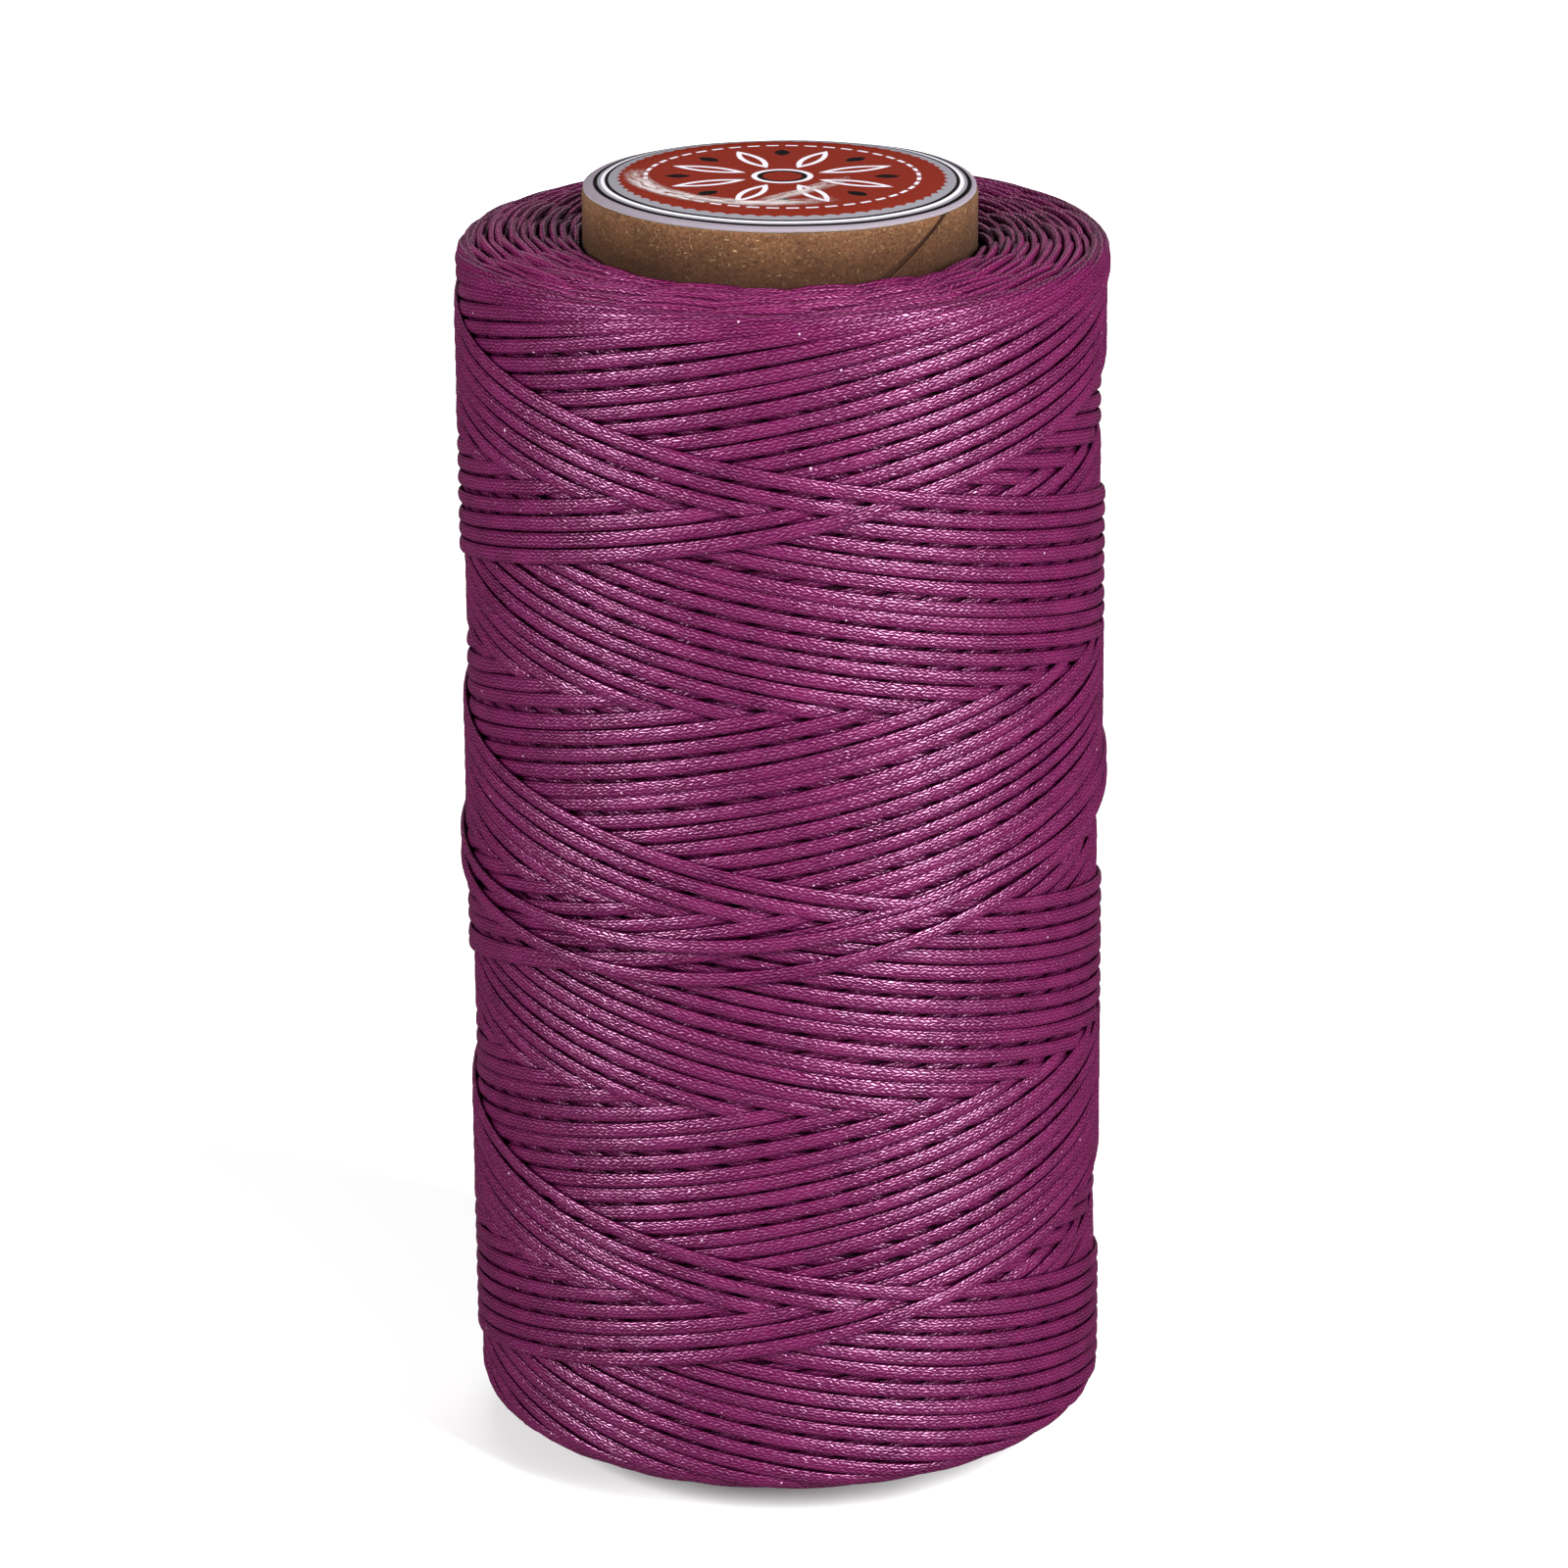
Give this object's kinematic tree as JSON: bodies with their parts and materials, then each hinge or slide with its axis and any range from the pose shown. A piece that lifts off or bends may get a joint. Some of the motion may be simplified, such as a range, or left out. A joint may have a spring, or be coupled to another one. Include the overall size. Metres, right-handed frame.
{
  "type": "thread spool",
  "caption": "Cylinder of flat waxed thread cross-wound on a cardboard tube, with a round label closing the tube's top and the bore open below.",
  "frame": {"origin": "centre of the tube's bottom end, on the surface that the spool stands on", "axes": "+Z along the tube's axis, towards the label; -Y is the front"},
  "size_m": [0.0414, 0.0414, 0.0837],
  "materials": {
    "liner_card": "matte",
    "kraft_card": "matte",
    "waxed_thread": "waxed satin",
    "label_paper": "printed, coated",
    "label_film": "clear gloss"
  },
  "bodies": {
    "root": {"core_inner_ply": "liner_card", "core_middle_ply": "liner_card", "core_outer_ply": "kraft_card", "thread_pack": "waxed_thread", "thread_outer_layer": "waxed_thread", "label_paper": "label_paper", "label_film": "label_film"}
  },
  "joints": []
}
